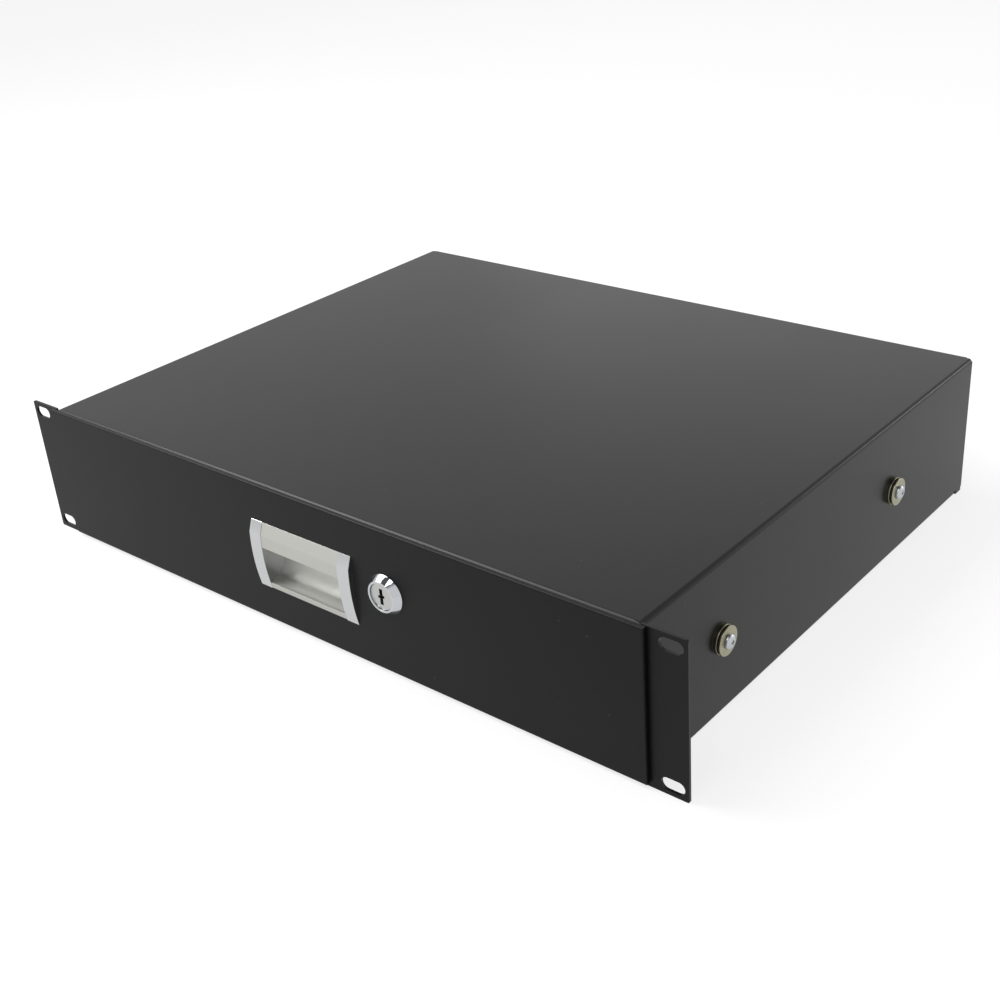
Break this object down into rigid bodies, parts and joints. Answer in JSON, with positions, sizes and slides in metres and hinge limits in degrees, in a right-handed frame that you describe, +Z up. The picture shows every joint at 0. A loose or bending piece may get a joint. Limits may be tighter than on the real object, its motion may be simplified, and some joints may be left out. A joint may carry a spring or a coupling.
{
  "type": "sliding rack drawer",
  "caption": "Lockable sliding drawer for a 19-inch equipment rack, two units high, on ball-bearing slides in a black steel housing with slotted ears.",
  "frame": {"origin": "centre of the four rack slots, on the rear face of the ears that bears on the rack's rails", "axes": "+X to the right seen from the front, +Y into the rack, +Z up"},
  "size_m": [0.4826, 0.3542, 0.0882],
  "materials": {
    "black_powder_coat": "fine-textured satin black powder coat",
    "panel_black": "fine-textured satin black powder coat, fingerprinted",
    "zinc_steel": "bright zinc-plated steel",
    "yellow_zinc": "yellow-passivated zinc",
    "ball_steel": "polished hardened steel",
    "chrome_cap": "satin chrome plating",
    "aluminium_grip": "brushed anodised aluminium",
    "lock_chrome": "polished chrome plating",
    "black_rubber": "matt black rubber",
    "black_plastic": "moulded black acetal"
  },
  "bodies": {
    "housing": {"top_cover": "black_powder_coat", "base_plate": "black_powder_coat", "base_screws": "zinc_steel", "outer_rail_left": "zinc_steel", "outer_rail_right": "zinc_steel", "rear_bumpers": "black_plastic", "inner_washers": "yellow_zinc", "rubber_rings": "black_rubber", "outer_washers": "yellow_zinc", "side_screws": "zinc_steel"},
    "drawer": {"drawer_tray": "black_powder_coat", "front_panel": "panel_black", "panel_nuts": "zinc_steel", "inner_rail_left": "zinc_steel", "inner_rail_right": "zinc_steel", "tray_screws": "zinc_steel", "lever_pins": "zinc_steel", "handle_grip": "aluminium_grip", "handle_cap_left": "chrome_cap", "handle_cap_right": "chrome_cap", "handle_screws": "zinc_steel", "lock_barrel": "lock_chrome", "lock_nut": "zinc_steel"},
    "lock": {"lock_plug": "lock_chrome", "lock_cam": "zinc_steel", "cam_screw": "zinc_steel"},
    "middle_left": {"middle_rail_left": "zinc_steel"},
    "outer_retainer_left": {"outer_cage_left": "zinc_steel", "outer_balls_left": "ball_steel"},
    "inner_retainer_left": {"inner_cage_left": "zinc_steel", "inner_balls_left": "ball_steel"},
    "lever_left": {"release_lever_left": "black_plastic"},
    "middle_right": {"middle_rail_right": "zinc_steel"},
    "outer_retainer_right": {"outer_cage_right": "zinc_steel", "outer_balls_right": "ball_steel"},
    "inner_retainer_right": {"inner_cage_right": "zinc_steel", "inner_balls_right": "ball_steel"},
    "lever_right": {"release_lever_right": "black_plastic"}
  },
  "joints": [
    {"name": "drawer_slide", "type": "slide", "parent": "housing", "child": "drawer", "axis": [0, -1, 0], "range_m": [0, 0.32]},
    {"name": "lock_turn", "type": "hinge", "parent": "drawer", "child": "lock", "pos_m": [0.0615, 0, 0.0076], "axis": [0, -1, 0], "range_deg": [0, 90]},
    {"name": "middle_left_slide", "type": "slide", "parent": "housing", "child": "middle_left", "axis": [0, -1, 0], "range_m": [0, 0.16]},
    {"name": "outer_retainer_left_slide", "type": "slide", "parent": "housing", "child": "outer_retainer_left", "axis": [0, -1, 0], "range_m": [0, 0.08]},
    {"name": "inner_retainer_left_slide", "type": "slide", "parent": "housing", "child": "inner_retainer_left", "axis": [0, -1, 0], "range_m": [0, 0.24]},
    {"name": "lever_left_turn", "type": "hinge", "parent": "drawer", "child": "lever_left", "pos_m": [-0.205, 0.16, -0.001], "axis": [1, 0, 0], "range_deg": [0, 20]},
    {"name": "middle_right_slide", "type": "slide", "parent": "housing", "child": "middle_right", "axis": [0, -1, 0], "range_m": [0, 0.16]},
    {"name": "outer_retainer_right_slide", "type": "slide", "parent": "housing", "child": "outer_retainer_right", "axis": [0, -1, 0], "range_m": [0, 0.08]},
    {"name": "inner_retainer_right_slide", "type": "slide", "parent": "housing", "child": "inner_retainer_right", "axis": [0, -1, 0], "range_m": [0, 0.24]},
    {"name": "lever_right_turn", "type": "hinge", "parent": "drawer", "child": "lever_right", "pos_m": [0.205, 0.16, -0.001], "axis": [1, 0, 0], "range_deg": [0, 20]}
  ],
  "couplings": [
    {"joint": "middle_left_slide", "follows": "drawer_slide", "ratio": 0.5},
    {"joint": "outer_retainer_left_slide", "follows": "drawer_slide", "ratio": 0.25},
    {"joint": "inner_retainer_left_slide", "follows": "drawer_slide", "ratio": 0.75},
    {"joint": "middle_right_slide", "follows": "drawer_slide", "ratio": 0.5},
    {"joint": "outer_retainer_right_slide", "follows": "drawer_slide", "ratio": 0.25},
    {"joint": "inner_retainer_right_slide", "follows": "drawer_slide", "ratio": 0.75}
  ]
}
